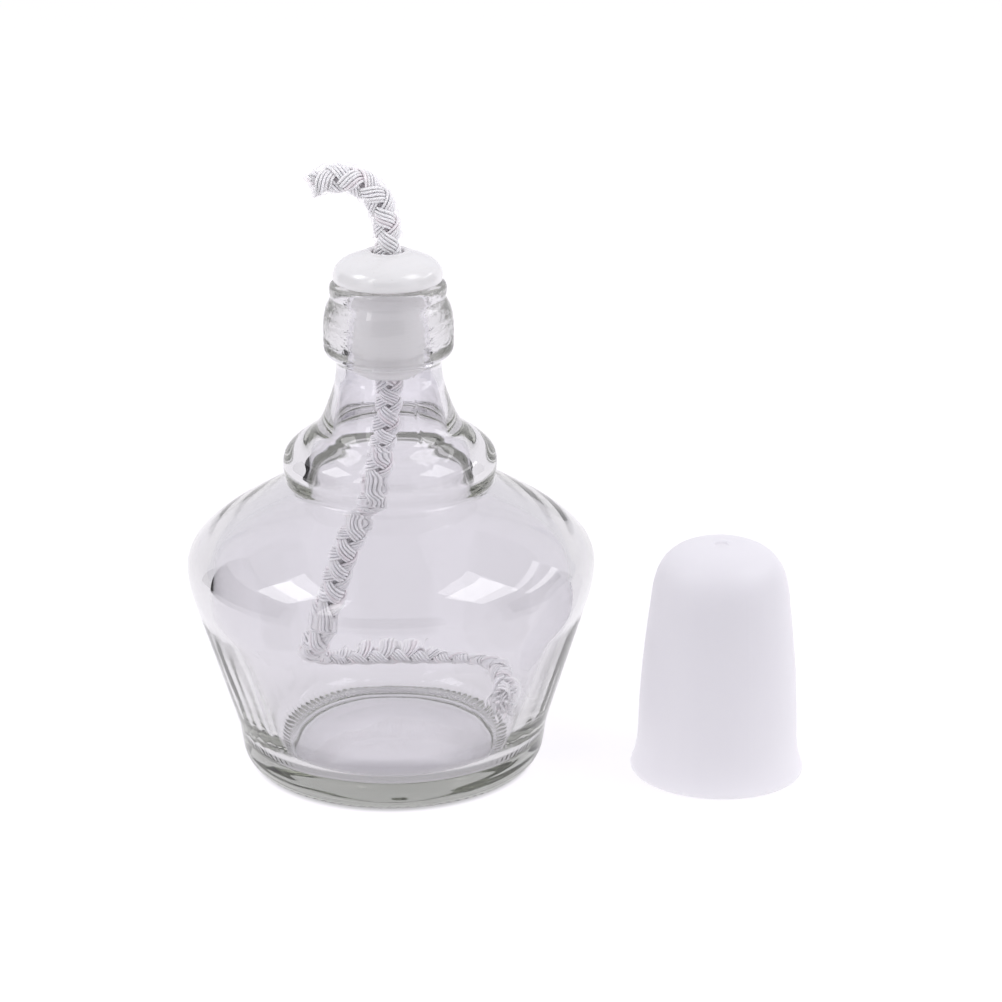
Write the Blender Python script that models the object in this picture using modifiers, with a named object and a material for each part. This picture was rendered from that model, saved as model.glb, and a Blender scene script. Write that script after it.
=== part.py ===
"""Spirit lamp: clear glass reservoir, porcelain wick holder, cotton wick and loose snuffer cap.

Metres, +Z up. The reservoir and the cap both stand on z = 0, and the origin is
at the bottom centre of the box around the whole set.
"""
import math

import bpy
from mathutils import Vector

# ---------------------------------------------------------------- driving sizes
COLLECTION = "oil_lamp"

# Reservoir, outside (radius, height)
BODY_R = 0.0440          # widest point of the body
BODY_Z = 0.0455
CONE_TOP_R = 0.0420      # straight flank, top and bottom
CONE_TOP_Z = 0.0359
CONE_LOW_R = 0.0345
CONE_LOW_Z = 0.0118
HEEL_R = 0.0332          # where the flank turns into the heel
HEEL_Z = 0.0048
FOOT_R = 0.0294          # flat foot ring, outer and inner edge
FOOT_IN_R = 0.0252
PUSH_UP = 0.0016         # rise of the hollow under the base
SHOULDER_R = 0.0240      # shoulder starts under the collar
SHOULDER_Z = 0.0629
SHOULDER_SLOPE = 31.0    # degrees below horizontal
COLLAR_R = 0.0229        # collar round the foot of the neck
COLLAR_Z = 0.0682
COLLAR_TOP_R = 0.0200
COLLAR_TOP_Z = 0.0731
COLLAR_LOW_R = 0.0224
COLLAR_LOW_Z = 0.0650
NECK_LOW_R = 0.0163      # neck meets the collar
NECK_LOW_Z = 0.0756
NECK_MID_R = 0.0129
NECK_MID_Z = 0.0820
NECK_TOP_R = 0.0112      # neck under the lip
NECK_TOP_Z = 0.0900
LIP_R = 0.0138           # widest point of the lip
LIP_Z = 0.0960
LIP_SHOULDER_R = 0.0130
LIP_SHOULDER_Z = 0.1028
BEAD_R = 0.0124          # rolled bead on top of the lip
BEAD_Z = 0.1062
GROOVE_R = 0.0121
GROOVE_Z = 0.1045
LIP_TOP_Z = 0.1076
LIP_FLAT_OUT_R = 0.0112
LIP_FLAT_IN_R = 0.0094

# Reservoir, inside
BORE_R = 0.0088
BORE_LOW_Z = 0.0900
INNER_NECK_R = 0.0102    # straight inside of the neck, top and bottom
INNER_NECK_Z = 0.0850
INNER_THROAT_R = 0.0130
INNER_THROAT_Z = 0.0745
INNER_COLLAR_R = 0.0175  # start of the hollow behind the collar
INNER_COLLAR_Z = 0.0642
INNER_SHOULDER_R = 0.0232
INNER_SHOULDER_Z = 0.0577
INNER_MAX_R = 0.0386
INNER_MAX_Z = 0.0434
INNER_CONE_R = 0.0371    # straight inside flank, top and bottom
INNER_CONE_Z = 0.0350
INNER_LOW_R = 0.0283
INNER_LOW_Z = 0.0105
FLOOR_Z = 0.0044
FLOOR_R = 0.0190

# Wick holder (heights from the top of the lip)
SEAT_GAP = 0.0003
DOME_R = 0.0116
DOME_EDGE_Z = 0.0013
DOME_TOP_R = 0.0056
DOME_TOP_Z = 0.0068
STEM_R = 0.0077
STEM_LEN = 0.0197
STEM_END_R = 0.0050
STEM_GROOVE_Z = 0.0152   # below the lip
STEM_GROOVE_DEPTH = 0.0004
HOLDER_BORE_R = 0.00345

# Wick
WICK_R = 0.0030
WICK_POINTS = 78

# Snuffer cap
CAP_RIM_R = 0.0186
CAP_WAIST_R = 0.0173     # just above the flared rim
CAP_WAIST_Z = 0.0085
CAP_SHOULDER_R = 0.0147
CAP_SHOULDER_Z = 0.0410
CAP_H = 0.0518
CAP_WALL = 0.0013

# Layout
CAP_DX = 0.0710          # cap axis from the lamp axis
CAP_DY = -0.0070
LAMP_X = -(CAP_DX + CAP_RIM_R - BODY_R) / 2
CAP_X = LAMP_X + CAP_DX

SEGMENTS_BODY = 40
SEGMENTS_HOLDER = 36
SEGMENTS_CAP = 40


# ---------------------------------------------------------------- curves
def line(a, b, n):
    """n steps from a to b, without a itself."""
    return [(a[0] + (b[0] - a[0]) * i / n, a[1] + (b[1] - a[1]) * i / n) for i in range(1, n + 1)]


def bend(a, da, b, db, n, ka=0.38, kb=0.38):
    """Smooth bend from a to b leaving along da and arriving along db, without a itself.

    da and db are directions in degrees in the (radius, height) plane.
    """
    d = math.hypot(b[0] - a[0], b[1] - a[1])
    p1 = (a[0] + math.cos(math.radians(da)) * d * ka, a[1] + math.sin(math.radians(da)) * d * ka)
    p2 = (b[0] - math.cos(math.radians(db)) * d * kb, b[1] - math.sin(math.radians(db)) * d * kb)
    out = []
    for i in range(1, n + 1):
        t = i / n
        w = ((1 - t) ** 3, 3 * t * (1 - t) ** 2, 3 * t * t * (1 - t), t ** 3)
        out.append(tuple(w[0] * a[k] + w[1] * p1[k] + w[2] * p2[k] + w[3] * b[k] for k in (0, 1)))
    return out


def spline(points, count):
    """count points evenly spaced along a smooth curve through the given points."""
    p = [Vector(q) for q in points]
    p = [p[0] * 2 - p[1]] + p + [p[-1] * 2 - p[-2]]
    fine = []
    for i in range(1, len(p) - 2):
        knots = [0.0]
        for k in range(3):
            knots.append(knots[-1] + (p[i + k] - p[i + k - 1]).length ** 0.5)
        for j in range(60):
            t = knots[1] + (knots[2] - knots[1]) * j / 60
            a = [p[i - 1 + k] * ((knots[k + 1] - t) / (knots[k + 1] - knots[k]))
                 + p[i + k] * ((t - knots[k]) / (knots[k + 1] - knots[k])) for k in range(3)]
            b = [a[k] * ((knots[k + 2] - t) / (knots[k + 2] - knots[k]))
                 + a[k + 1] * ((t - knots[k]) / (knots[k + 2] - knots[k])) for k in range(2)]
            fine.append(b[0] * ((knots[2] - t) / (knots[2] - knots[1]))
                        + b[1] * ((t - knots[1]) / (knots[2] - knots[1])))
    fine.append(p[-2])
    run = [0.0]
    for u, v in zip(fine, fine[1:]):
        run.append(run[-1] + (v - u).length)
    out, k = [], 0
    for i in range(count):
        s = run[-1] * i / (count - 1)
        while k < len(run) - 2 and run[k + 1] < s:
            k += 1
        f = (s - run[k]) / (run[k + 1] - run[k])
        out.append(fine[k].lerp(fine[k + 1], min(max(f, 0.0), 1.0)))
    return out


# ---------------------------------------------------------------- profiles
def reservoir_profile():
    """Inner floor centre, up the inside, over the lip and down the outside to the base centre."""
    p = [(0.0, FLOOR_Z + 0.0002)]
    # inside, upwards: the wall keeps about the same thickness behind flank, shoulder and collar
    p += line(p[-1], (FLOOR_R, FLOOR_Z), 1)
    p += bend(p[-1], 0, (INNER_LOW_R, INNER_LOW_Z), 70, 5, 0.50, 0.46)
    p += line(p[-1], (INNER_CONE_R, INNER_CONE_Z), 1)
    p += bend(p[-1], 71, (INNER_MAX_R, INNER_MAX_Z), 90, 3, 0.36, 0.40)
    p += bend(p[-1], 90, (INNER_SHOULDER_R, INNER_SHOULDER_Z), 180 - SHOULDER_SLOPE, 7, 0.24, 0.50)
    p += bend(p[-1], 180 - SHOULDER_SLOPE, (INNER_COLLAR_R, INNER_COLLAR_Z), 70, 4, 0.32, 0.40)
    p += bend(p[-1], 70, (INNER_THROAT_R, INNER_THROAT_Z), 107, 5, 0.58, 0.24)
    p += line(p[-1], (INNER_NECK_R, INNER_NECK_Z), 1)
    p += bend(p[-1], 106, (BORE_R, BORE_LOW_Z), 90, 2)
    p += [(BORE_R, (BORE_LOW_Z + LIP_TOP_Z) / 2), (BORE_R, LIP_TOP_Z - 0.0010)]
    # lip
    p += bend(p[-1], 90, (LIP_FLAT_IN_R, LIP_TOP_Z), 0, 2)
    p += [(LIP_FLAT_OUT_R, LIP_TOP_Z)]
    p += bend(p[-1], 0, (BEAD_R, BEAD_Z), 270, 3, 0.5, 0.5)
    p += bend(p[-1], 270, (GROOVE_R, GROOVE_Z), 250, 2)
    p += [(LIP_SHOULDER_R, LIP_SHOULDER_Z)]
    p += bend(p[-1], 290, (LIP_R, LIP_Z), 270, 4)
    p += bend(p[-1], 270, (LIP_R - 0.0008, 0.0922), 215, 3, 0.45, 0.30)
    p += bend(p[-1], 205, (NECK_TOP_R, NECK_TOP_Z), 270, 2, 0.40, 0.30)
    # neck
    p += bend(p[-1], 270, (NECK_MID_R, NECK_MID_Z), 290, 3)
    p += bend(p[-1], 290, (NECK_LOW_R, NECK_LOW_Z), 312, 3)
    # collar
    p += bend(p[-1], 330, (COLLAR_TOP_R, COLLAR_TOP_Z), 323, 2)
    p += bend(p[-1], 320, (COLLAR_R, COLLAR_Z), 270, 4, 0.40, 0.40)
    p += bend(p[-1], 270, (COLLAR_LOW_R, COLLAR_LOW_Z), 250, 2)
    p += bend(p[-1], 250, (SHOULDER_R, SHOULDER_Z), -SHOULDER_SLOPE, 3, 0.50, 0.50)
    # shoulder, flank, heel
    p += bend(p[-1], -SHOULDER_SLOPE, (BODY_R, BODY_Z), 270, 10, 0.50, 0.24)
    p += bend(p[-1], 270, (CONE_TOP_R, CONE_TOP_Z), 252.7, 4, 0.36, 0.34)
    p += line(p[-1], (CONE_LOW_R, CONE_LOW_Z), 2)
    p += bend(p[-1], 252.7, (HEEL_R, HEEL_Z), 262, 2)
    p += bend(p[-1], 262, (FOOT_R, 0.0), 188, 5, 0.42, 0.34)
    # foot ring and the hollow under the base
    p += [(FOOT_IN_R, 0.0)]
    p += bend(p[-1], 145, (0.016, PUSH_UP - 0.0003), 176, 3)
    p += [(0.0, PUSH_UP)]
    return p


def holder_profile():
    """Closed ring profile, heights from the top of the lip, down the outside first."""
    g = SEAT_GAP
    top = DOME_TOP_Z
    p = [(HOLDER_BORE_R + 0.0005, top)]
    p += [(HOLDER_BORE_R + 0.0011, top)]
    p += bend(p[-1], 300, (DOME_TOP_R, top - 0.0005), 350, 2)
    p += bend(p[-1], 340, (DOME_R, DOME_EDGE_Z), 270, 8, 0.42, 0.40)
    p += bend(p[-1], 270, (DOME_R - 0.0008, g), 180, 3, 0.5, 0.5)
    p += [(STEM_R + 0.0005, g)]
    p += bend(p[-1], 190, (STEM_R, g - 0.0006), 270, 2)
    z = -STEM_GROOVE_Z
    p += [(STEM_R - 0.0001, z + 0.0007)]
    p += [(STEM_R - 0.0001 - STEM_GROOVE_DEPTH, z + 0.0003), (STEM_R - 0.0001 - STEM_GROOVE_DEPTH, z - 0.0003)]
    p += [(STEM_R - 0.0001, z - 0.0007)]
    p += bend(p[-1], 265, (STEM_END_R, -STEM_LEN), 200, 5, 0.40, 0.30)
    p += [(HOLDER_BORE_R + 0.0004, -STEM_LEN)]
    p += [(HOLDER_BORE_R, -STEM_LEN + 0.0004)]
    p += line(p[-1], (HOLDER_BORE_R, top - 0.0004), 3)
    return p


def cap_profile():
    """From the top centre down the outside, round the rim and back up the inside."""
    w = CAP_WALL
    p = [(0.0, CAP_H)]
    p += [(0.0030, CAP_H - 0.0001)]
    p += bend(p[-1], -3, (CAP_SHOULDER_R, CAP_SHOULDER_Z), 277, 8, 0.50, 0.42)
    p += bend(p[-1], 277, (CAP_WAIST_R, CAP_WAIST_Z), 271, 4)
    p += bend(p[-1], 272, (CAP_RIM_R, 0.0012), 292, 3)
    p += [(CAP_RIM_R - 0.0001, 0.0)]
    # inside, upwards
    p += [(CAP_RIM_R - w, 0.0)]
    p += bend(p[-1], 112, (CAP_WAIST_R - w, CAP_WAIST_Z), 91, 3)
    p += bend(p[-1], 91, (CAP_SHOULDER_R - w, CAP_SHOULDER_Z - 0.0002), 97, 4)
    p += bend(p[-1], 97, (0.0028, CAP_H - w - 0.0001), 177, 7, 0.42, 0.50)
    p += [(0.0, CAP_H - w)]
    return p


def wick_route():
    """The wick's centreline, in the lamp's own frame: frayed tip, holder, flask, tail on the floor."""
    return [
        # above the holder: up out of the dome and over to the left
        (-0.0156, 0.0000, 0.1283),
        (-0.0118, 0.0000, 0.1296),
        (-0.0078, 0.0000, 0.1296),
        (-0.0042, 0.0000, 0.1279),
        (-0.0014, 0.0000, 0.1244),
        (-0.0001, 0.0000, 0.1195),
        (0.0000, 0.0000, 0.1150),
        # straight through the holder
        (0.0000, 0.0000, 0.1010),
        (0.0000, 0.0000, 0.0870),
        # hanging down the neck and across the chamber
        (-0.0002, 0.0000, 0.0800),
        (-0.0011, 0.0000, 0.0725),
        (-0.0027, 0.0000, 0.0630),
        (-0.0058, 0.0003, 0.0550),
        (-0.0091, 0.0008, 0.0480),
        (-0.0117, 0.0022, 0.0405),
        (-0.0132, 0.0042, 0.0345),
        (-0.0165, 0.0086, 0.0277),
        # against the back wall, round to the right and forward over the floor
        (-0.0190, 0.0133, 0.0223),
        (-0.0186, 0.0178, 0.0189),
        (-0.0148, 0.0219, 0.0173),
        (-0.0080, 0.0252, 0.0168),
        (0.0015, 0.0266, 0.0168),
        (0.0101, 0.0246, 0.0168),
        (0.0181, 0.0194, 0.0166),
        (0.0235, 0.0121, 0.0157),
        (0.0255, 0.0034, 0.0139),
        (0.0243, -0.0055, 0.0121),
    ]


# ---------------------------------------------------------------- objects
def material(name, color, roughness, metallic=0.0, transmission=0.0, alpha=1.0):
    m = bpy.data.materials.new(name)
    m.use_nodes = True
    b = m.node_tree.nodes["Principled BSDF"]
    b.inputs["Base Color"].default_value = (*color, 1.0)
    b.inputs["Roughness"].default_value = roughness
    b.inputs["Metallic"].default_value = metallic
    b.inputs["Transmission Weight"].default_value = transmission
    b.inputs["Alpha"].default_value = alpha
    m.diffuse_color = (*color, 1.0)
    return m


def turned(name, profile, segments, mat, collection, closed=False):
    """A turned piece: the profile in the XZ plane, spun round the object's own Z axis."""
    mesh = bpy.data.meshes.new(name)
    n = len(profile)
    edges = [(i, i + 1) for i in range(n - 1)] + ([(n - 1, 0)] if closed else [])
    mesh.from_pydata([(r, 0.0, z) for r, z in profile], edges, [])
    obj = bpy.data.objects.new(name, mesh)
    collection.objects.link(obj)
    screw = obj.modifiers.new("turn", "SCREW")
    screw.axis = "Z"
    screw.angle = 2 * math.pi
    screw.steps = segments
    screw.render_steps = segments
    screw.use_merge_vertices = True
    screw.merge_threshold = 0.00002
    screw.use_smooth_shade = True
    mesh.materials.append(mat)
    return obj


def wick_object(name, route, mat, collection):
    curve = bpy.data.curves.new(name, "CURVE")
    curve.dimensions = "3D"
    curve.bevel_depth = WICK_R
    curve.bevel_resolution = 2
    curve.use_fill_caps = True
    pts = spline(route, WICK_POINTS)
    s = curve.splines.new("POLY")
    s.points.add(len(pts) - 1)
    for q, v in zip(s.points, pts):
        q.co = (*v, 1.0)
    s.use_smooth = True
    curve.materials.append(mat)
    obj = bpy.data.objects.new(name, curve)
    collection.objects.link(obj)
    return obj


def main():
    for o in list(bpy.data.objects):
        bpy.data.objects.remove(o, do_unlink=True)
    col = bpy.data.collections.new(COLLECTION)
    bpy.context.scene.collection.children.link(col)

    glass = material("glass_reservoir", (0.86, 0.86, 0.89), 0.02, transmission=1.0)
    porcelain = material("wick_holder", (0.90, 0.90, 0.91), 0.22)
    cotton = material("wick", (0.88, 0.86, 0.88), 0.92)
    milky = material("snuffer_cap", (0.90, 0.89, 0.93), 0.42, transmission=0.15)

    reservoir = turned("glass_reservoir", reservoir_profile(), SEGMENTS_BODY, glass, col)
    reservoir.location = (LAMP_X, 0.0, 0.0)

    holder = turned("wick_holder", holder_profile(), SEGMENTS_HOLDER, porcelain, col, closed=True)
    holder.parent = reservoir
    holder.location = (0.0, 0.0, LIP_TOP_Z)

    wick = wick_object("wick", wick_route(), cotton, col)
    wick.parent = holder
    wick.location = (0.0, 0.0, -LIP_TOP_Z)

    cap = turned("snuffer_cap", cap_profile(), SEGMENTS_CAP, milky, col)
    cap.parent = reservoir
    cap.location = (CAP_DX, CAP_DY, 0.0)

    bpy.context.view_layer.update()


main()
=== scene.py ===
import math
import random

import bpy
import numpy as np
from mathutils import Matrix, Vector
from mathutils import noise as mnoise


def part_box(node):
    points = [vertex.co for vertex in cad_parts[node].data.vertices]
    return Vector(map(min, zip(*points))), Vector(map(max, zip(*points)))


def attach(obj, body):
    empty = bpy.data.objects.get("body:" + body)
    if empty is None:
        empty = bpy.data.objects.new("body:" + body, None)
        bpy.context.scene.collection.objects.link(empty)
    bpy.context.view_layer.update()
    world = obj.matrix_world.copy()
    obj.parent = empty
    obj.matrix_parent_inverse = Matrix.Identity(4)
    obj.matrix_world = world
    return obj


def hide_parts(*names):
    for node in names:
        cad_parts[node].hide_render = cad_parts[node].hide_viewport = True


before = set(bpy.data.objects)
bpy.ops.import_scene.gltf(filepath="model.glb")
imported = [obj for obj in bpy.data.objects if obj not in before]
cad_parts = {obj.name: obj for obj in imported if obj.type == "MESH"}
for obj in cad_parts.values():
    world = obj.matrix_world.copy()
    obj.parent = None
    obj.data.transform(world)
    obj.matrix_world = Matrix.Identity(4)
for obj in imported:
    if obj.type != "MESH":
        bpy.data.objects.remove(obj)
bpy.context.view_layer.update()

rng = np.random.default_rng(41)

# ------------------------------------------------------------------ layout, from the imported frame
res_lo, res_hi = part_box("glass_reservoir")
cap_lo, cap_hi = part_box("snuffer_cap")
LAMP_X = (res_lo[0] + res_hi[0]) / 2
LIP_TOP_Z = res_hi[2]
CAP_X = (cap_lo[0] + cap_hi[0]) / 2
CAP_Y = (cap_lo[1] + cap_hi[1]) / 2
CAP_H = cap_hi[2]
CAP_RIM_R = (cap_hi[0] - cap_lo[0]) / 2
BODY_R = (res_hi[0] - res_lo[0]) / 2

scene = bpy.context.scene
scene_col = scene.collection


# ------------------------------------------------------------------ curves and meshes
def line(a, b, n):
    return [(a[0] + (b[0] - a[0]) * i / n, a[1] + (b[1] - a[1]) * i / n) for i in range(1, n + 1)]


def bend(a, da, b, db, n, ka=0.38, kb=0.38):
    d = math.hypot(b[0] - a[0], b[1] - a[1])
    p1 = (a[0] + math.cos(math.radians(da)) * d * ka, a[1] + math.sin(math.radians(da)) * d * ka)
    p2 = (b[0] - math.cos(math.radians(db)) * d * kb, b[1] - math.sin(math.radians(db)) * d * kb)
    out = []
    for i in range(1, n + 1):
        t = i / n
        w = ((1 - t) ** 3, 3 * t * (1 - t) ** 2, 3 * t * t * (1 - t), t ** 3)
        out.append(tuple(w[0] * a[k] + w[1] * p1[k] + w[2] * p2[k] + w[3] * b[k] for k in (0, 1)))
    return out


def smooth_line(points, count):
    """count points evenly spaced along a centripetal curve through points (any dimension)."""
    p = [np.array(q, float) for q in points]
    p = [2 * p[0] - p[1]] + p + [2 * p[-1] - p[-2]]
    fine = []
    for i in range(1, len(p) - 2):
        kn = [0.0]
        for k in range(3):
            kn.append(kn[-1] + np.linalg.norm(p[i + k] - p[i + k - 1]) ** 0.5)
        for j in range(60):
            t = kn[1] + (kn[2] - kn[1]) * j / 60
            a = [p[i - 1 + k] * ((kn[k + 1] - t) / (kn[k + 1] - kn[k]))
                 + p[i + k] * ((t - kn[k]) / (kn[k + 1] - kn[k])) for k in range(3)]
            b = [a[k] * ((kn[k + 2] - t) / (kn[k + 2] - kn[k]))
                 + a[k + 1] * ((t - kn[k]) / (kn[k + 2] - kn[k])) for k in range(2)]
            fine.append(b[0] * ((kn[2] - t) / (kn[2] - kn[1])) + b[1] * ((t - kn[1]) / (kn[2] - kn[1])))
    fine.append(p[-2])
    fine = np.array(fine)
    run = np.concatenate([[0.0], np.cumsum(np.linalg.norm(np.diff(fine, axis=0), axis=1))])
    s = np.linspace(0.0, run[-1], count)
    return np.stack([np.interp(s, run, fine[:, k]) for k in range(fine.shape[1])], axis=1)


def link(mesh, name):
    obj = bpy.data.objects.new(name, mesh)
    scene_col.objects.link(obj)
    return obj


def mesh_from(name, verts, quads=None, tris=None, smooth=True):
    """A mesh from numpy arrays."""
    me = bpy.data.meshes.new(name)
    nq = 0 if quads is None else len(quads)
    nt = 0 if tris is None else len(tris)
    loops = []
    if nq:
        loops.append(np.asarray(quads, np.int32).ravel())
    if nt:
        loops.append(np.asarray(tris, np.int32).ravel())
    loops = np.concatenate(loops)
    me.vertices.add(len(verts))
    me.vertices.foreach_set("co", np.asarray(verts, np.float32).ravel())
    me.loops.add(len(loops))
    me.loops.foreach_set("vertex_index", loops)
    me.polygons.add(nq + nt)
    starts = np.concatenate([np.arange(nq) * 4, nq * 4 + np.arange(nt) * 3]).astype(np.int32)
    me.polygons.foreach_set("loop_start", starts)
    if smooth:
        me.polygons.foreach_set("use_smooth", np.ones(nq + nt, bool))
    me.update(calc_edges=True)
    me.validate()
    return me


def revolve(name, profile, segs, closed, warp=None):
    """The profile (radius, height) spun round Z. Open profiles start and end on the axis."""
    prof = np.array(profile, float)
    n = len(prof)
    th = np.arange(segs) * 2 * math.pi / segs
    first_axis = (not closed) and prof[0, 0] < 1e-9
    last_axis = (not closed) and prof[-1, 0] < 1e-9
    body = prof[1 if first_axis else 0: n - 1 if last_axis else n]
    m = len(body)
    r = body[:, 0][:, None] * np.ones(segs)[None, :]
    z = body[:, 1][:, None] * np.ones(segs)[None, :]
    t = np.ones(m)[:, None] * th[None, :]
    if warp is not None:
        r, z = warp(r, z, t, np.arange(m)[:, None] * np.ones(segs)[None, :])
    verts = np.stack([r * np.cos(t), r * np.sin(t), z], axis=2).reshape(-1, 3)
    idx = np.arange(m * segs).reshape(m, segs)
    nxt = np.roll(idx, -1, axis=1)
    rows = m if closed else m - 1
    quads = []
    for i in range(rows):
        j = (i + 1) % m
        quads.append(np.stack([idx[i], idx[j], nxt[j], nxt[i]], axis=1))
    quads = np.concatenate(quads)
    tris = []
    if first_axis:
        verts = np.vstack([verts, [[0, 0, prof[0, 1]]]])
        c = len(verts) - 1
        tris.append(np.stack([np.full(segs, c), idx[0], nxt[0]], axis=1))
    if last_axis:
        verts = np.vstack([verts, [[0, 0, prof[-1, 1]]]])
        c = len(verts) - 1
        tris.append(np.stack([idx[m - 1], np.full(segs, c), nxt[m - 1]], axis=1))
    tris = np.concatenate(tris) if tris else None
    return mesh_from(name, verts, quads, tris)


# ------------------------------------------------------------------ node helpers
class Nodes:
    """Short calls for building a material's node tree."""

    def __init__(self, name):
        self.mat = bpy.data.materials.new(name)
        self.mat.use_nodes = True
        self.t = self.mat.node_tree
        self.b = self.t.nodes["Principled BSDF"]
        self.out = self.t.nodes["Material Output"]

    def new(self, kind, **props):
        n = self.t.nodes.new(kind)
        for k, v in props.items():
            setattr(n, k, v)
        return n

    def put(self, n, sockets):
        for k, v in sockets.items():
            s = n.inputs[k]
            if hasattr(v, "is_output"):
                self.t.links.new(v, s)
            else:
                s.default_value = v
        return n

    def coord(self, which="Object"):
        return self.new("ShaderNodeTexCoord").outputs[which]

    def attr(self, name, out="Fac"):
        return self.new("ShaderNodeAttribute", attribute_name=name).outputs[out]

    def noise(self, vec, scale, detail=3.0, rough=0.5, dist=0.0):
        n = self.new("ShaderNodeTexNoise")
        self.put(n, {"Vector": vec, "Scale": scale, "Detail": detail, "Roughness": rough, "Distortion": dist})
        return n.outputs["Fac"]

    def scaled(self, vec, s):
        n = self.new("ShaderNodeMapping")
        self.put(n, {"Vector": vec, "Scale": s})
        return n.outputs["Vector"]

    def math(self, op, a, b=0.0, c=0.0, clamp=False):
        n = self.new("ShaderNodeMath", operation=op, use_clamp=clamp)
        for i, v in enumerate((a, b, c)):
            if hasattr(v, "is_output"):
                self.t.links.new(v, n.inputs[i])
            else:
                n.inputs[i].default_value = v
        return n.outputs[0]

    def remap(self, v, a, b, c, d, smooth=False):
        n = self.new("ShaderNodeMapRange", interpolation_type="SMOOTHSTEP" if smooth else "LINEAR")
        self.put(n, {"Value": v, "From Min": a, "From Max": b, "To Min": c, "To Max": d})
        return n.outputs["Result"]

    def mix(self, fac, a, b, mode="MIX"):
        n = self.new("ShaderNodeMix", data_type="RGBA", blend_type=mode)
        for s, v in ((n.inputs[0], fac), (n.inputs[6], a), (n.inputs[7], b)):
            if hasattr(v, "is_output"):
                self.t.links.new(v, s)
            else:
                s.default_value = v if not isinstance(v, tuple) or len(v) == 4 else (*v, 1.0)
        return n.outputs[2]

    def bump(self, height, strength, distance, normal=None):
        n = self.new("ShaderNodeBump")
        self.put(n, {"Height": height, "Strength": strength, "Distance": distance})
        if normal is not None:
            self.t.links.new(normal, n.inputs["Normal"])
        return n.outputs["Normal"]

    def xyz(self, vec):
        n = self.new("ShaderNodeSeparateXYZ")
        self.t.links.new(vec, n.inputs[0])
        return n.outputs


# ------------------------------------------------------------------ glass reservoir
def reservoir_profile(k):
    """The same turned profile as the CAD reservoir, k times finer, with the point index where the outside starts."""
    p = [(0.0, 0.0046)]
    p += line(p[-1], (0.0190, 0.0044), 2 * k)
    p += bend(p[-1], 0, (0.0283, 0.0105), 70, 4 * k, 0.50, 0.46)
    p += line(p[-1], (0.0371, 0.0350), 2 * k)
    p += bend(p[-1], 71, (0.0386, 0.0434), 90, 4 * k, 0.36, 0.40)
    p += bend(p[-1], 90, (0.0232, 0.0577), 149.5, 9 * k, 0.24, 0.50)
    p += bend(p[-1], 149.5, (0.0175, 0.0642), 70, 4 * k, 0.32, 0.40)
    p += bend(p[-1], 70, (0.0130, 0.0745), 107, 5 * k, 0.58, 0.24)
    p += line(p[-1], (0.0102, 0.0850), 2 * k)
    p += bend(p[-1], 106, (0.0088, 0.0900), 90, 3 * k)
    p += line(p[-1], (0.0088, LIP_TOP_Z - 0.0010), 2 * k)
    p += bend(p[-1], 90, (0.0094, LIP_TOP_Z), 0, 2 * k)
    top = len(p) - 1
    p += line(p[-1], (0.0112, LIP_TOP_Z), k)
    p += bend(p[-1], 0, (0.0124, 0.1062), 270, 3 * k, 0.5, 0.5)
    p += bend(p[-1], 270, (0.0121, 0.1045), 250, 2 * k)
    p += bend(p[-1], 300, (0.0130, 0.1028), 300, k)
    p += bend(p[-1], 290, (0.0138, 0.0960), 270, 4 * k)
    p += bend(p[-1], 270, (0.0130, 0.0922), 215, 3 * k, 0.45, 0.30)
    p += bend(p[-1], 205, (0.0112, 0.0900), 270, 2 * k, 0.40, 0.30)
    p += bend(p[-1], 270, (0.0129, 0.0820), 290, 3 * k)
    p += bend(p[-1], 290, (0.0163, 0.0756), 312, 3 * k)
    p += bend(p[-1], 330, (0.0200, 0.0731), 323, 2 * k)
    p += bend(p[-1], 320, (0.0229, 0.0682), 270, 4 * k, 0.40, 0.40)
    p += bend(p[-1], 270, (0.0224, 0.0650), 250, 3 * k)
    p += bend(p[-1], 250, (0.0240, 0.0629), -31, 3 * k, 0.50, 0.50)
    p += bend(p[-1], -31, (BODY_R, 0.0455), 270, 10 * k, 0.50, 0.24)
    p += bend(p[-1], 270, (0.0420, 0.0359), 252.7, 4 * k, 0.36, 0.34)
    p += line(p[-1], (0.0345, 0.0118), 2 * k)
    p += bend(p[-1], 252.7, (0.0332, 0.0048), 262, 2 * k)
    p += bend(p[-1], 262, (0.0294, 0.0), 188, 5 * k, 0.42, 0.34)
    p += line(p[-1], (0.0252, 0.0), k)
    p += bend(p[-1], 145, (0.016, 0.0013), 176, 3 * k)
    p += line(p[-1], (0.0, 0.0016), k)
    return p, top


def even(profile, step):
    """The profile with its long stretches divided, so that no edge is longer than step."""
    out = [profile[0]]
    for a, b in zip(profile, profile[1:]):
        n = max(1, int(math.ceil(math.hypot(b[0] - a[0], b[1] - a[1]) / step)))
        out += [(a[0] + (b[0] - a[0]) * i / n, a[1] + (b[1] - a[1]) * i / n) for i in range(1, n + 1)]
    return out


def smooth_waves(t, z, seed, amp_t, amp_z):
    """Slow waves round and up a wall, as a mould and a blowpipe leave them; periodic round the wall."""
    r = np.random.default_rng(seed)
    out = np.zeros_like(t)
    for _ in range(9):
        m = r.integers(1, amp_t + 1)
        f = r.uniform(10, amp_z)
        out += r.uniform(0.3, 1.0) / (0.6 + 0.35 * m) * np.cos(m * t + r.uniform(0, 6.28) + f * z * r.choice([-1, 1]))
    return out / 3.2


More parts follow.
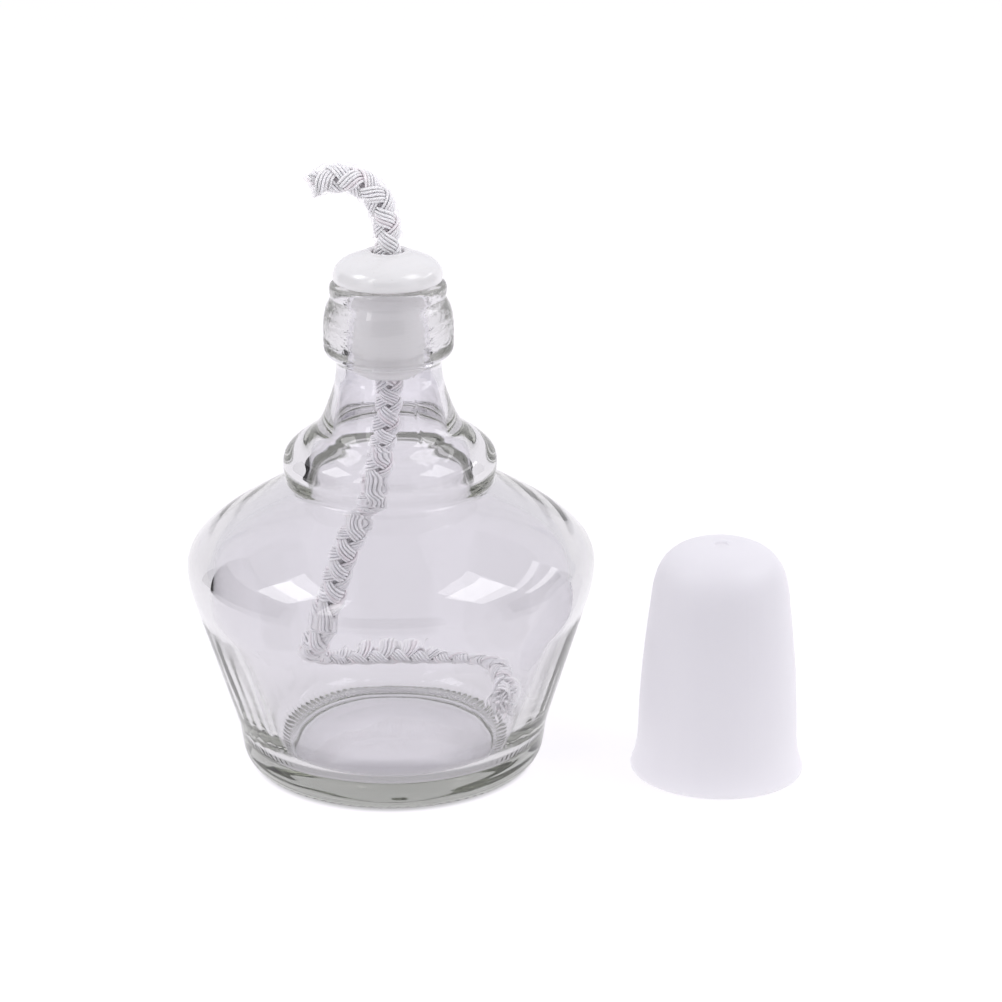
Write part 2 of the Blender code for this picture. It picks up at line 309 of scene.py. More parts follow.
def build_reservoir():
    prof, top = reservoir_profile(3)
    n_in = top
    prof = [prof[0]] + prof[1:]

    def warp(r, z, t, i):
        inner = i < n_in - 6
        outer = i >= n_in + 4
        # inside: the wall's own thickness wanders, most in the body, nothing at the mouth
        body = np.clip((0.088 - z) / 0.02, 0, 1) * np.clip(r / 0.012, 0, 1)
        w_in = smooth_waves(t, z, 5, 4, 75) * 0.00020 * body
        # chill marks low on the two sides, where the glass met the cooler mould
        low = np.clip((0.034 - z) / 0.012, 0, 1) * np.clip((z - 0.0065) / 0.004, 0, 1) * np.abs(np.cos(t)) ** 3
        w_in += (0.00009 - 0.00004 * np.cos(t)) * low * np.sin(37 * t + 3.0 * np.sin(z * 420) + 2.0 * np.sin(5 * t)) * (0.6 + 0.4 * np.sin(11 * t + 700 * z))
        # outside: a faint wave and two mould seams, polished away on the lip
        lipfade = np.clip((0.094 - z) / 0.012, 0, 1)
        foot = np.clip((z - 0.003) / 0.006, 0, 1)
        w_out = smooth_waves(t, z, 9, 3, 50) * 0.00006 * lipfade * foot
        for t0 in (math.radians(-62), math.radians(118)):
            d = (t - t0 + math.pi) % (2 * math.pi) - math.pi
            w_out += 0.00009 * np.exp(-(d * r / 0.00022) ** 2) * lipfade * foot
        # the pressed lip keeps fine rings and dimples from its mould
        lip = np.clip((z - 0.0930) / 0.0015, 0, 1) * np.clip((LIP_TOP_Z - 0.0022 - z) / 0.0012, 0, 1)
        rings = np.sin(z * 2 * math.pi / 0.0017 + 0.9 * np.sin(2 * t + 0.4) + 0.5 * np.sin(5 * t)) \
            * (0.6 + 0.4 * np.sin(3 * t + 900 * z))
        w_out += 0.00007 * rings * lip
        w_in += 0.00004 * np.sin(z * 2 * math.pi / 0.0023 + 1.4 * np.sin(3 * t)) * (z > 0.088) * (z < LIP_TOP_Z - 0.002)
        r = r + np.where(inner, w_in, 0.0) + np.where(outer, w_out, 0.0)
        # the floor inside is a little wavy too
        fl = (z < 0.0062) & inner
        z = z + np.where(fl, smooth_waves(t, r * 3, 21, 3, 160) * 0.00022 * np.clip(r / 0.006, 0, 1), 0.0)
        # and the dished underside keeps a few rings and ripples
        under = outer & (z < 0.0021) & (r < 0.0250)
        z = z + np.where(under, smooth_waves(t, r * 3, 51, 5, 300) * 0.00016 * np.clip(r / 0.006, 0, 1)
                         * np.clip((0.0250 - r) / 0.004, 0, 1), 0.0)
        return r, z

    me = revolve("flask_glass", prof, 288, False, warp)
    obj = link(me, "flask_glass")
    obj.location = (LAMP_X, 0, 0)
    return obj


def glass_material():
    n = Nodes("clear_glass")
    co = n.coord("Object")
    haze = n.noise(co, 90.0, 4.0, 0.6)
    smear = n.noise(n.scaled(co, (1.0, 1.0, 0.25)), 420.0, 3.0, 0.55)
    rough = n.remap(n.math("MULTIPLY", haze, smear), 0.12, 0.42, 0.0, 0.018)
    low = n.noise(n.scaled(co, (1.0, 1.0, 0.55)), 55.0, 2.0, 0.45, 0.4)
    fine = n.noise(co, 500.0, 2.0, 0.5)
    x, y, z = n.xyz(co)
    # the foot ring is knurled, so that the hot glass doesn't stick to its plate
    rad = n.math("SQRT", n.math("ADD", n.math("MULTIPLY", x, x), n.math("MULTIPLY", y, y)))
    turn = n.math("ARCTAN2", y, x)
    foot = n.math("MULTIPLY", n.remap(z, 0.0012, 0.0024, 1.0, 0.0, True),
                  n.math("MULTIPLY", n.remap(rad, 0.0246, 0.0256, 0.0, 1.0, True), n.remap(rad, 0.0312, 0.0322, 1.0, 0.0, True)))
    knurl = n.math("MULTIPLY", n.math("SINE", n.math("ADD", n.math("MULTIPLY", turn, 96.0), n.math("MULTIPLY", low, 9.0))), foot)
    # dimples and pulled threads, strongest in the thick lip
    lip = n.math("MULTIPLY", n.remap(z, 0.0925, 0.0950, 0.0, 1.0, True), n.remap(z, 0.1030, 0.1050, 1.0, 0.25, True))
    dimple = n.noise(n.scaled(co, (1.0, 1.0, 1.8)), 620.0, 2.0, 0.55, 0.5)
    nrm = n.bump(low, 0.12, 0.0006)
    nrm = n.bump(fine, 0.03, 0.00002, nrm)
    nrm = n.bump(knurl, 0.5, 0.00010, nrm)
    # the lip tool closes from two sides, and leaves more of them there
    sides = n.remap(n.math("ABSOLUTE", n.math("COSINE", turn)), 0.55, 0.85, 0.6, 1.9, True)
    nrm = n.bump(n.math("MULTIPLY", n.math("MULTIPLY", dimple, lip), sides), 0.40, 0.00016, nrm)
    n.put(n.b, {"Base Color": (0.884, 0.873, 0.904, 1.0), "Roughness": rough, "IOR": 1.5,
                "Transmission Weight": 1.0, "Normal": nrm})
    # light on its way to the wick and the stopper goes straight through the wall
    path = n.new("ShaderNodeLightPath")
    see = n.new("ShaderNodeBsdfTransparent")
    see.inputs["Color"].default_value = (0.995, 0.99, 1.0, 1.0)
    inner = n.new("ShaderNodeMixShader")
    outer = n.new("ShaderNodeMixShader")
    n.t.links.new(path.outputs["Is Diffuse Ray"], inner.inputs[0])
    n.t.links.new(n.b.outputs[0], inner.inputs[1])
    n.t.links.new(see.outputs[0], inner.inputs[2])
    n.t.links.new(path.outputs["Is Shadow Ray"], outer.inputs[0])
    n.t.links.new(inner.outputs[0], outer.inputs[1])
    n.t.links.new(see.outputs[0], outer.inputs[2])
    n.t.links.new(outer.outputs[0], n.out.inputs["Surface"])
    v = n.new("ShaderNodeVolumeAbsorption")
    v.inputs["Color"].default_value = (0.765, 0.775, 0.738, 1.0)
    v.inputs["Density"].default_value = 50.0
    n.t.links.new(v.outputs[0], n.out.inputs["Volume"])
    return n.mat


# ------------------------------------------------------------------ porcelain wick holder
def holder_profile(k):
    g, top = 0.0003, 0.0068
    bore = 0.00345
    p = [(bore + 0.0005, top)]
    p += line(p[-1], (bore + 0.0011, top), k)
    p += bend(p[-1], 300, (0.0056, top - 0.0005), 350, 2 * k)
    p += bend(p[-1], 340, (0.0116, 0.0013), 270, 8 * k, 0.42, 0.40)
    p += bend(p[-1], 270, (0.0108, g), 180, 3 * k, 0.5, 0.5)
    p += line(p[-1], (0.0082, g), k)
    p += bend(p[-1], 190, (0.0077, g - 0.0006), 270, 2 * k)
    z = -0.0152
    p += line(p[-1], (0.0076, z + 0.0007), 4 * k)
    p += bend(p[-1], 250, (0.0072, z + 0.0003), 270, k)
    p += line(p[-1], (0.0072, z - 0.0003), k)
    p += bend(p[-1], 290, (0.0076, z - 0.0007), 270, k)
    p += bend(p[-1], 265, (0.0050, -0.0197), 200, 5 * k, 0.40, 0.30)
    p += line(p[-1], (bore + 0.0004, -0.0197), k)
    p += bend(p[-1], 180, (bore, -0.0193), 90, 2 * k)
    p += line(p[-1], (bore, top - 0.0004), 6 * k)
    p += bend(p[-1], 90, (bore + 0.0005, top), 0, 2 * k)
    return p[:-1]


def build_holder():
    def warp(r, z, t, i):
        w = smooth_waves(t, z, 33, 3, 240) * 0.00004
        return r + w * np.clip((r - 0.004) / 0.003, 0, 1), z
    me = revolve("holder_porcelain", holder_profile(3), 192, True, warp)
    obj = link(me, "holder_porcelain")
    obj.location = (LAMP_X, 0, LIP_TOP_Z)
    return obj


def porcelain_material():
    n = Nodes("porcelain")
    co = n.coord("Object")
    z = n.xyz(co)[2]
    glazed = n.remap(z, -0.0006, 0.0008, 0.0, 1.0, True)
    cloud = n.noise(co, 130.0, 3.0, 0.5)
    specks = n.noise(co, 2600.0, 1.0, 0.4)
    spot = n.remap(specks, 0.735, 0.76, 0.0, 1.0, True)
    grain = n.noise(co, 3800.0, 3.0, 0.6)
    ring = n.math("SINE", n.math("MULTIPLY", z, 9000.0))
    col = n.mix(cloud, (0.715, 0.712, 0.714), (0.75, 0.747, 0.748))
    col = n.mix(n.math("MULTIPLY", n.math("SUBTRACT", 1.0, glazed), 0.6), col, (0.77, 0.775, 0.75))
    col = n.mix(n.math("MULTIPLY", spot, 0.35), col, (0.45, 0.42, 0.38))
    rough = n.mix(glazed, n.remap(grain, 0.3, 0.7, 0.48, 0.66), n.remap(cloud, 0.3, 0.7, 0.10, 0.20))
    body = n.math("MULTIPLY", n.math("ADD", grain, n.math("MULTIPLY", ring, 0.25)),
                  n.math("SUBTRACT", 1.0, n.math("MULTIPLY", glazed, 0.92)))
    peel = n.noise(co, 700.0, 2.0, 0.4)
    nrm = n.bump(body, 0.35, 0.00004)
    nrm = n.bump(peel, 0.08, 0.00006, nrm)
    n.put(n.b, {"Base Color": col, "Roughness": rough, "Normal": nrm, "Subsurface Weight": 0.25,
                "Subsurface Radius": (1.0, 0.95, 0.9), "Subsurface Scale": 0.0008,
                "Coat Weight": 0.35, "Coat Roughness": 0.06, "IOR": 1.5})
    return n.mat


# ------------------------------------------------------------------ braided wick
ROUTE = [
    (-0.0156, 0.0000, 0.1283), (-0.0118, 0.0000, 0.1296), (-0.0078, 0.0000, 0.1296),
    (-0.0042, 0.0000, 0.1279), (-0.0014, 0.0000, 0.1244), (-0.0001, 0.0000, 0.1195),
    (0.0000, 0.0000, 0.1150), (0.0000, 0.0000, 0.1010), (0.0000, 0.0000, 0.0870),
    (-0.0002, 0.0000, 0.0800), (-0.0011, 0.0000, 0.0725), (-0.0027, 0.0000, 0.0630),
    (-0.0058, 0.0003, 0.0550), (-0.0091, 0.0008, 0.0480), (-0.0117, 0.0022, 0.0405),
    (-0.0132, 0.0042, 0.0345), (-0.0165, 0.0086, 0.0277), (-0.0190, 0.0133, 0.0223),
    (-0.0186, 0.0178, 0.0189), (-0.0148, 0.0219, 0.0173), (-0.0080, 0.0252, 0.0168),
    (0.0015, 0.0266, 0.0168), (0.0101, 0.0246, 0.0168), (0.0181, 0.0194, 0.0166),
    (0.0235, 0.0121, 0.0157), (0.0255, 0.0034, 0.0139), (0.0243, -0.0055, 0.0121),
]


def frames_along(path):
    """Tangents and two steady normals along a path."""
    d = np.gradient(path, axis=0)
    t = d / np.linalg.norm(d, axis=1)[:, None]
    n = np.zeros_like(t)
    n[0] = np.cross(t[0], (0.0, 1.0, 0.0))
    n[0] /= np.linalg.norm(n[0])
    for i in range(1, len(t)):
        v = n[i - 1] - t[i] * np.dot(n[i - 1], t[i])
        n[i] = v / np.linalg.norm(v)
    return t, n, np.cross(t, n)


def tubes(paths, radii, sides, tints):
    """Closed round tubes along many paths at once: vertices, quads, caps, uv and a tint for each."""
    V, Q, T, UV, C = [], [], [], [], []
    base = 0
    ang = np.arange(sides) * 2 * math.pi / sides
    for path, rad, tint in zip(paths, radii, tints):
        m = len(path)
        t, n, b = frames_along(path)
        rad = np.broadcast_to(np.asarray(rad, float), (m,))
        ring = (n[:, None, :] * np.cos(ang)[None, :, None] + b[:, None, :] * np.sin(ang)[None, :, None])
        v = path[:, None, :] + ring * rad[:, None, None]
        V.append(v.reshape(-1, 3))
        idx = base + np.arange(m * sides).reshape(m, sides)
        nx = np.roll(idx, -1, axis=1)
        Q.append(np.stack([idx[:-1], nx[:-1], nx[1:], idx[1:]], axis=2).reshape(-1, 4))
        run = np.concatenate([[0.0], np.cumsum(np.linalg.norm(np.diff(path, axis=0), axis=1))])
        UV.append(np.stack([np.tile(np.arange(sides) / sides, m), np.repeat(run, sides)], axis=1))
        C.append(np.tile(np.asarray(tint, float), (m * sides, 1)))
        for end, order in ((0, -1), (m - 1, 1)):
            ring_i = idx[end][::order]
            for j in range(1, sides - 1):
                T.append([ring_i[0], ring_i[j], ring_i[j + 1]])
        base += m * sides
    return np.concatenate(V), np.concatenate(Q), np.array(T), np.concatenate(UV), np.concatenate(C)


def build_wick():
    step = 0.00034
    coarse = smooth_line(ROUTE, 2000)
    length = float(np.linalg.norm(np.diff(coarse, axis=0), axis=1).sum())
    m = int(length / step)
    path = smooth_line(ROUTE, m)
    s = np.linspace(0, length, m)
    t, nrm, bnr = frames_along(path)
    r = np.random.default_rng(7)

    def wander(scale, amp, seed):
        q = np.random.default_rng(seed)
        kn = np.arange(-scale, length + 2 * scale, scale)
        return np.interp(s, kn, np.convolve(q.normal(0, 1, len(kn) + 2), [0.25, 0.5, 0.25], "valid")) * amp

    pitch = 0.0110
    w = 2 * math.pi / pitch
    r0, amp = 0.00205, 0.00053
    # how far from either end the braid opens
    top_open = np.clip((0.0042 - s) / 0.0042, 0, 1) ** 1.4
    low_open = np.clip((s - (length - 0.013)) / 0.013, 0, 1) ** 1.5
    # held tight in the stopper's bore, and pressed thinner where the tail rests on the glass
    squeeze = 1.0 - 0.06 * np.clip((s - 0.017) / 0.004, 0, 1) * np.clip((0.066 - s) / 0.006, 0, 1) - 0.07 * np.clip((s - 0.150) / 0.025, 0, 1) \
        + 0.07 * np.exp(-((s - 0.098) / 0.026) ** 2)
    paths, radii, tints = [], [], []
    outer = [(-0.00132, -0.00006), (-0.00067, 0.00018), (0.0, 0.00026), (0.00067, 0.00018), (0.00132, -0.00006)]
    inner = [(-0.00092, -0.00034), (-0.00030, -0.00030), (0.00030, -0.00030), (0.00092, -0.00034)]
    yarn_r = 0.00030
    for k in range(4):
        hand = 1 if k < 2 else -1
        off = math.pi * (k % 2) + (0.0 if hand > 0 else 0.0)
        phi = hand * w * s + off + wander(0.006, 0.10, 100 + k)
        rad = (r0 + hand * amp * np.cos(2 * w * s)) * squeeze
        er = nrm * np.cos(phi)[:, None] + bnr * np.sin(phi)[:, None]
        centre = path + er * rad[:, None]
        tg = np.gradient(centre, axis=0)
        tg /= np.linalg.norm(tg, axis=1)[:, None]
        side = np.cross(er, tg)
        side /= np.linalg.norm(side, axis=1)[:, None]
        up = np.cross(tg, side)
        flat = 1.0 + 0.12 * hand * np.cos(2 * w * s)
        for j, (u, v) in enumerate(outer + inner):
            du = wander(0.0022, 0.00007, 1000 + 17 * k + j)
            dv = wander(0.0022, 0.00006, 2000 + 17 * k + j)
            fan = r.normal(0, 1, 2)
            fan_l = r.normal(0, 1, 2)
            off_s = (u * flat + du)[:, None] * side + (v + dv)[:, None] * up
            p = centre + off_s
            # the ends open: yarns leave the braid sideways and a little ragged
            spread_t = (nrm * fan[0] + bnr * fan[1]) * 0.0005
            spread_l = (nrm * fan_l[0] * 1.0 + bnr * fan_l[1] * 1.0) * 0.0012
            p = p + spread_t * top_open[:, None] + spread_l * low_open[:, None]
            cut0 = int(r.uniform(0, 0.0016) / step)
            cut1 = m - int(r.uniform(0, 0.0050) / step)
            yr = yarn_r * (1.0 + wander(0.0012, 0.10, 3000 + 17 * k + j))
            paths.append(p[cut0:cut1])
            radii.append(yr[cut0:cut1])
            pink = r.random()
            base = np.array([1.0, 1.0, 1.0]) * r.uniform(0.94, 1.0)
            if pink < 0.16:
                base = base * np.array([1.0, 0.935, 0.955])
            elif pink < 0.5:
                base = base * np.array([0.985, 0.98, 1.0])
            tints.append(base)
    # a soft core, so that no daylight shows through the braid
    for j in range(3):
        a = j * 2.094
        core = path + (nrm * math.cos(a) + bnr * math.sin(a)) * 0.00062
        paths.append(core[6:-14])
        radii.append(0.00078)
        tints.append(np.array([0.97, 0.965, 0.975]))
    V, Q, T, UV, C = tubes(paths, radii, 7, tints)

    # loose fibres: fuzz all along, and tufts at the two ends
    fp, fr, ft = [], [], []
    for _ in range(1500):
        i = int(r.uniform(4, m - 4))
        a = r.uniform(0, 2 * math.pi)
        e = nrm[i] * math.cos(a) + bnr[i] * math.sin(a)
        sd = np.cross(t[i], e)
        ln = r.uniform(0.0006, 0.0024)
        drift = r.uniform(-1, 1)
        lift = r.uniform(0.00002, 0.0006)
        q = np.linspace(0, 1, 6)
        pts = path[i] + e * (0.00285 + lift * np.sin(q * math.pi * r.uniform(0.55, 1.0)))[:, None] \
            + t[i] * ((q - 0.5) * ln * math.cos(drift * 1.3))[:, None] + sd * ((q - 0.5) * ln * math.sin(drift * 1.3))[:, None]
        z_in = LIP_TOP_Z - 0.028 < pts[0][2] < LIP_TOP_Z + 0.0090 and abs(pts[0][0]) < 0.006 and abs(pts[0][1]) < 0.006
        if z_in:
            continue
        fp.append(pts)
        fr.append(np.array([0.6, 1, 1, 1, 0.8, 0.4]) * r.uniform(0.000018, 0.00003))
        ft.append(np.array([1.0, 0.99, 1.0]))
    for end, count, reach, spread in ((0, 110, 0.0024, 0.0007), (1, 170, 0.0055, 0.0018)):
        i = 3 if end == 0 else m - 14
        dirn = -t[i] if end == 0 else t[i]
        for _ in range(count):
            a = r.uniform(0, 2 * math.pi)
            rr = 0.0024 * math.sqrt(r.random())
            e = nrm[i] * math.cos(a) + bnr[i] * math.sin(a)
            e2 = nrm[i] * math.cos(a + r.normal(0, 0.8)) + bnr[i] * math.sin(a + r.normal(0, 0.8))
            q = np.linspace(0, 1, 9)
            ln = reach * r.uniform(0.35, 1.0)
            pts = path[i] + e * (rr + 0 * q)[:, None] + dirn * (q * ln - 0.001)[:, None] + e2 * (spread * r.uniform(0.2, 1.0) * q ** 1.6)[:, None]
            pts = pts + np.array([0, 0, -1.0]) * (0.0008 * q ** 2 * r.uniform(0, 1))[:, None]
            fp.append(pts)
            fr.append(np.linspace(1, 0.45, 9) * r.uniform(0.00004, 0.00010))
            ft.append(np.array([1.0, 0.99, 1.0]) * r.uniform(0.93, 1.0))
    V2, Q2, T2, UV2, C2 = tubes(fp, fr, 4, ft)
    nV = len(V)
    V = np.concatenate([V, V2])
    Q = np.concatenate([Q, Q2 + nV])
    T = np.concatenate([T, T2 + nV])
    UV = np.concatenate([UV, UV2])
    C = np.concatenate([C, C2])
    me = mesh_from("wick_braid", V, Q, T)
    col = me.color_attributes.new("tint", "FLOAT_COLOR", "POINT")
    col.data.foreach_set("color", np.concatenate([C, np.ones((len(C), 1))], axis=1).astype(np.float32).ravel())
    uv = me.uv_layers.new(name="yarn")
    li = np.zeros(len(me.loops), np.int32)
    me.loops.foreach_get("vertex_index", li)
    # the last strip round a tube runs from its last side to 1, not back to 0
    luv = UV[li].copy()
    ls = np.zeros(len(me.polygons), np.int32)
    lt = np.zeros(len(me.polygons), np.int32)
    me.polygons.foreach_get("loop_start", ls)
    me.polygons.foreach_get("loop_total", lt)
    q4 = ls[lt == 4]
    block = luv[q4[:, None] + np.arange(4)[None, :]]
    wrap = (block[:, :, 0].max(axis=1) - block[:, :, 0].min(axis=1)) > 0.5
    u = block[:, :, 0]
    u[wrap] = np.where(u[wrap] < 0.3, 1.0, u[wrap])
    block[:, :, 0] = u
    luv[q4[:, None] + np.arange(4)[None, :]] = block
    uv.data.foreach_set("uv", luv.astype(np.float32).ravel())
    obj = link(me, "wick_braid")
    obj.location = (LAMP_X, 0, 0)
    world_path = path + np.array([LAMP_X, 0, 0])
    return obj, world_path, length


def cotton_material():
    n = Nodes("cotton")
    co = n.coord("Object")
    tint = n.attr("tint", "Color")
    uv = n.xyz(n.coord("UV"))
    # the twist of each yarn: plies wind round it along its length
    phase = n.math("ADD", n.math("MULTIPLY", uv[0], 2 * math.pi * 2), n.math("MULTIPLY", uv[1], 2 * math.pi / 0.00105))
    ply = n.math("SINE", phase)
    fibre = n.noise(n.scaled(co, (1, 1, 1)), 5200.0, 3.0, 0.65)
    cloud = n.noise(co, 260.0, 3.0, 0.55)
    # painted shade: the colour darkens along the grooves between the plies, where shade falls in the twist
    ply_groove_shade = n.remap(ply, -1.0, 1.0, 0.92, 1.0)
    col = n.mix(cloud, (0.95, 0.935, 0.95), (0.985, 0.975, 0.985))
    col = n.mix(1.0, col, tint, "MULTIPLY")
    g = n.math("MULTIPLY", ply_groove_shade, n.remap(fibre, 0.25, 0.75, 0.94, 1.04))
    comb = n.new("ShaderNodeCombineColor")
    n.put(comb, {0: g, 1: g, 2: g})
    col = n.mix(1.0, col, comb.outputs[0], "MULTIPLY")
    h = n.math("ADD", n.math("MULTIPLY", ply, 0.5), n.math("MULTIPLY", fibre, 0.7))
    nrm = n.bump(h, 0.55, 0.00007)
    n.put(n.b, {"Base Color": col, "Roughness": n.remap(fibre, 0.3, 0.7, 0.78, 0.95), "Normal": nrm,
                "Sheen Weight": 0.35, "Sheen Roughness": 0.5, "Specular IOR Level": 0.2,
                "Subsurface Weight": 0.85, "Subsurface Radius": (1.0, 0.95, 0.95), "Subsurface Scale": 0.0011})
    return n.mat


# ------------------------------------------------------------------ snuffer cap
def cap_profile(k):
    w = 0.0013
    h = CAP_H
    p = [(0.0, h - 0.00045), (0.0006, h - 0.00045)]
    # the gate mark in the middle of the top, a shallow dished disc
    p += bend(p[-1], 0, (0.0016, h - 0.0003), 60, k, 0.4, 0.4)
    p += bend(p[-1], 60, (0.0021, h), 0, k, 0.4, 0.4)
    p += line(p[-1], (0.0030, h - 0.0001), k)
    p += bend(p[-1], -3, (0.0147, 0.0410), 277, 9 * k, 0.50, 0.42)
    p += bend(p[-1], 277, (0.0173, 0.0085), 271, 8 * k)
    p += bend(p[-1], 272, (CAP_RIM_R, 0.0012), 292, 4 * k)
    p += bend(p[-1], 292, (CAP_RIM_R - 0.0004, 0.0), 180, k, 0.5, 0.5)
    p += line(p[-1], (CAP_RIM_R - w + 0.0003, 0.0), k)
    p += bend(p[-1], 180, (CAP_RIM_R - w - 0.0001, 0.0005), 100, k, 0.5, 0.5)
    p += bend(p[-1], 112, (0.0173 - w, 0.0085), 91, 3 * k)
    p += bend(p[-1], 91, (0.0147 - w, 0.0408), 97, 6 * k)
    p += bend(p[-1], 97, (0.0028, h - w - 0.0001), 177, 7 * k, 0.42, 0.50)
    p += line(p[-1], (0.0, h - w), k)
    return p


def build_cap():
    def warp(r, z, t, i):
        # a thin moulding is never quite round at its rim, and has a faint parting line
        rim = np.clip((0.012 - z) / 0.012, 0, 1) ** 2
        r = r * (1 + 0.006 * rim * np.cos(2 * t + 0.7) + 0.003 * rim * np.cos(3 * t + 2.0))
        for t0 in (math.radians(-70), math.radians(110)):
            d = (t - t0 + math.pi) % (2 * math.pi) - math.pi
            r = r + 0.00005 * np.exp(-(d * r / 0.00015) ** 2) * (r > 0.0125) * np.clip((z - 0.004) / 0.004, 0, 1)
        return r, z
    me = revolve("cap_milky", cap_profile(3), 240, False, warp)
    obj = link(me, "cap_milky")
    obj.location = (CAP_X, CAP_Y, 0)
    return obj


def cap_material():
    n = Nodes("milky_plastic")
    co = n.coord("Object")
    z = n.xyz(co)[2]
    cloud = n.noise(n.scaled(co, (1, 1, 0.4)), 60.0, 3.0, 0.5)
    flow = n.noise(n.scaled(co, (1, 1, 0.12)), 260.0, 2.0, 0.5)
    satin = n.noise(co, 2400.0, 2.0, 0.5)
    scratch = n.noise(n.scaled(co, (40, 40, 900)), 1.0, 2.0, 0.6)
    col = n.mix(cloud, (0.755, 0.740, 0.790), (0.785, 0.770, 0.815))
    col = n.mix(n.math("MULTIPLY", flow, 0.12), col, (0.86, 0.85, 0.875))
    rough = n.math("ADD", n.remap(satin, 0.3, 0.7, 0.36, 0.46), n.math("MULTIPLY", scratch, 0.05))
    nrm = n.bump(n.math("ADD", n.math("MULTIPLY", satin, 0.6), n.math("MULTIPLY", flow, 1.0)), 0.12, 0.00005)
    n.put(n.b, {"Base Color": col, "Roughness": rough, "Normal": nrm, "IOR": 1.5,
                "Subsurface Weight": 0.75, "Subsurface Radius": (1.0, 1.0, 1.0), "Subsurface Scale": 0.006,
                "Specular IOR Level": 0.4})
    return n.mat


# ------------------------------------------------------------------ camera, first
cam = bpy.data.cameras.new("camera")
cam_obj = bpy.data.objects.new("camera", cam)
scene_col.objects.link(cam_obj)
cam.sensor_width = 36.0
cam.lens = 106.0
cam.clip_start = 0.05
cam.clip_end = 50
cam_obj.location = (LAMP_X + 0.02374, -0.600, 0.268)
cam_obj.rotation_euler = (math.radians(90 - 19.22), 0, 0)
scene.camera = cam_obj

# ------------------------------------------------------------------ pieces
wick, wick_path, wick_len = build_wick()
wick.data.materials.append(cotton_material())
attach(wick, "wick")
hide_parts("wick")

flask = build_reservoir()
flask.data.materials.append(glass_material())
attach(flask, "reservoir")
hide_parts("glass_reservoir")

holder = build_holder()
holder.data.materials.append(porcelain_material())
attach(holder, "holder")
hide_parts("wick_holder")

cap = build_cap()
cap.data.materials.append(cap_material())
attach(cap, "cap")
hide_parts("snuffer_cap")

# ------------------------------------------------------------------ stage and light
me = mesh_from("floor", [(-5, -5, -0.0002), (5, -5, -0.0002), (5, 5, -0.0002), (-5, 5, -0.0002)], [[0, 1, 2, 3]], None, False)
floor = link(me, "floor")
n = Nodes("stage_floor")
fx, fy, _ = n.xyz(n.coord("Object"))
fx = n.math("SUBTRACT", fx, LAMP_X)
away = n.math("SQRT", n.math("ADD", n.math("MULTIPLY", fx, fx), n.math("MULTIPLY", fy, fy)))
# painted shadow: under the glass foot the floor's glow is dimmed, most in a ring just inside the foot and most towards
# the front, standing in for the flask's contact shadow
ring = n.math("MULTIPLY", n.remap(away, 0.0316, 0.0294, 0.0, 1.0, True), n.remap(away, 0.009, 0.021, 0.22, 1.0, True))
ring = n.math("MULTIPLY", ring, n.remap(fy, -0.016, 0.010, 1.0, 0.45, True))
# painted shade: the front part of the disc under the foot is darkened as well
ring = n.math("MAXIMUM", ring, n.math("MULTIPLY", n.remap(away, 0.0316, 0.0294, 0.0, 1.0, True), n.remap(fy, -0.004, -0.013, 0.0, 1.0, True)))
n.put(n.b, {"Base Color": (0.24, 0.235, 0.245, 1.0), "Roughness": 0.9, "Specular IOR Level": 0.0,
            "Emission Color": (0.99, 0.975, 1.0, 1.0),
            # the painted shadow lowers the floor's glow here
            "Emission Strength": n.math("SUBTRACT", 0.80, n.math("MULTIPLY", ring, 0.47))})
floor.data.materials.append(n.mat)


def softbox(name, pos, target, size, power, color=(1, 1, 1)):
    l = bpy.data.lights.new(name, "AREA")
    l.shape = "RECTANGLE"
    l.size, l.size_y = size
    l.energy = power
    l.color = color
    o = bpy.data.objects.new(name, l)
    scene_col.objects.link(o)
    o.location = pos
    d = Vector(target) - Vector(pos)
    o.rotation_euler = d.to_track_quat("-Z", "Y").to_euler()
    return o


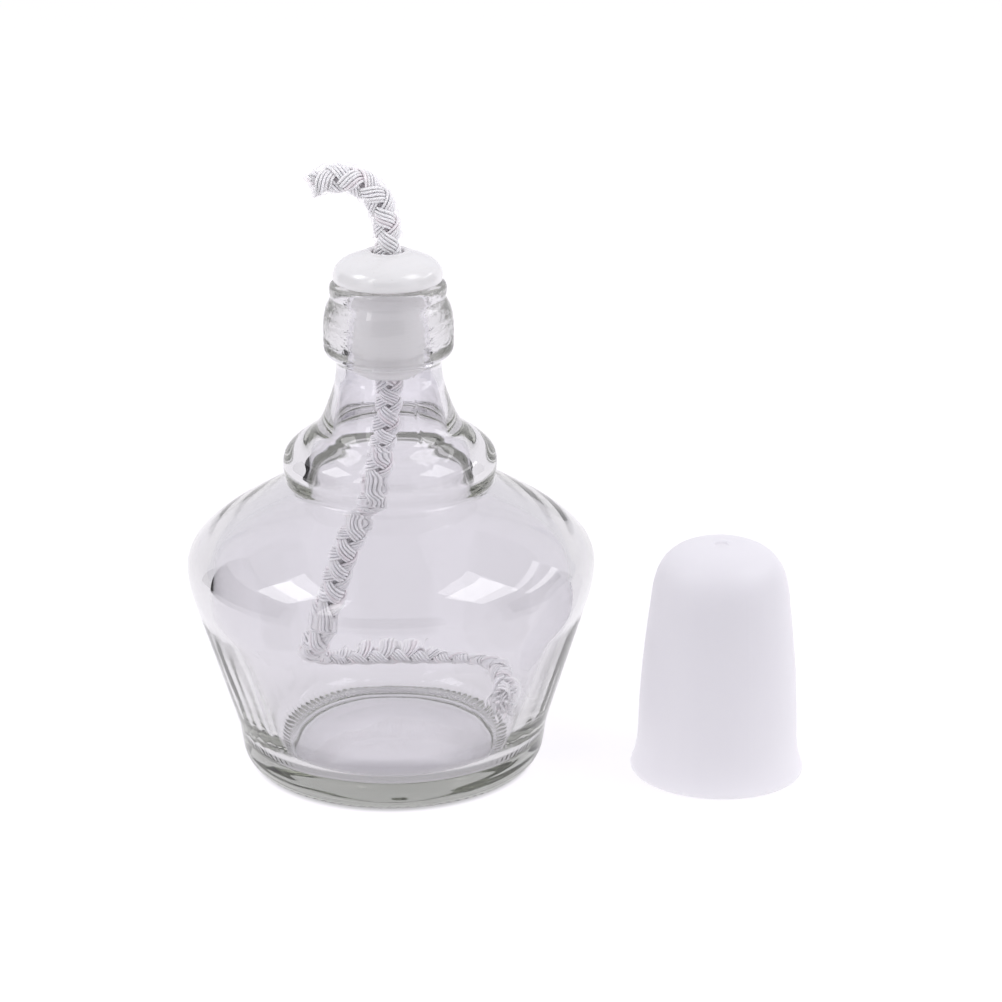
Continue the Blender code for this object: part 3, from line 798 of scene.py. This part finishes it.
softbox("key_right", (0.62, -0.18, 0.86), (0, 0, 0.05), (0.46, 0.46), 2.35)
softbox("key_left", (-0.72, -0.16, 0.80), (0, 0, 0.05), (0.40, 0.40), 2.1)
softbox("strip_front", (-0.42, -0.52, 0.60), (0, 0, 0.05), (0.10, 0.42), 0.42)
softbox("strip_side", (0.76, 0.20, 0.48), (0, 0, 0.05), (0.50, 0.09), 0.42)

# the unlit side of the studio, behind the camera
me = mesh_from("dark_side", [(-0.85, -1.5, 0.0), (0.85, -1.5, 0.0), (0.95, -1.7, 1.05), (-0.95, -1.7, 1.05)], [[0, 1, 2, 3]], None, False)
dark = link(me, "dark_side")
n = Nodes("stage_dark")
n.put(n.b, {"Base Color": (0.10, 0.10, 0.10, 1.0), "Roughness": 0.9, "Specular IOR Level": 0.0})
dark.data.materials.append(n.mat)
dark.visible_camera = False

# dark cards beside the set, which only the glass and the glazes see: they draw its edges
n = Nodes("stage_card")
n.put(n.b, {"Base Color": (0.03, 0.03, 0.03, 1.0), "Roughness": 0.9, "Specular IOR Level": 0.0})
for name, x, y0, y1, top in (("card_left", -0.50, -0.30, 0.30, 0.34), ("card_right", 0.52, -0.22, 0.30, 0.30)):
    me = mesh_from(name, [(x, y0, 0.0), (x, y1, 0.0), (x, y1, top), (x, y0, top)], [[0, 1, 2, 3]], None, False)
    card = link(me, name)
    card.data.materials.append(n.mat)
    card.visible_camera = False
    card.visible_diffuse = False
    card.visible_shadow = False

world = bpy.data.worlds.new("studio")
scene.world = world
world.use_nodes = True
bg = world.node_tree.nodes["Background"]
wt = world.node_tree
wco = wt.nodes.new("ShaderNodeTexCoord")
wsep = wt.nodes.new("ShaderNodeSeparateXYZ")
wmap = wt.nodes.new("ShaderNodeMapRange")
wt.links.new(wco.outputs["Generated"], wsep.inputs[0])
wt.links.new(wsep.outputs[2], wmap.inputs["Value"])
for key, val in (("From Min", 0.0), ("From Max", 1.0), ("To Min", 0.93), ("To Max", 0.84)):
    wmap.inputs[key].default_value = val
wt.links.new(wmap.outputs["Result"], bg.inputs["Strength"])
bg.inputs["Color"].default_value = (1.0, 0.985, 1.04, 1.0)

scene.view_settings.view_transform = "Standard"
scene.view_settings.look = "None"
scene.cycles.transparent_max_bounces = 24
scene.cycles.max_bounces = 64
scene.cycles.transmission_bounces = 64
scene.cycles.diffuse_bounces = 8
scene.cycles.glossy_bounces = 64
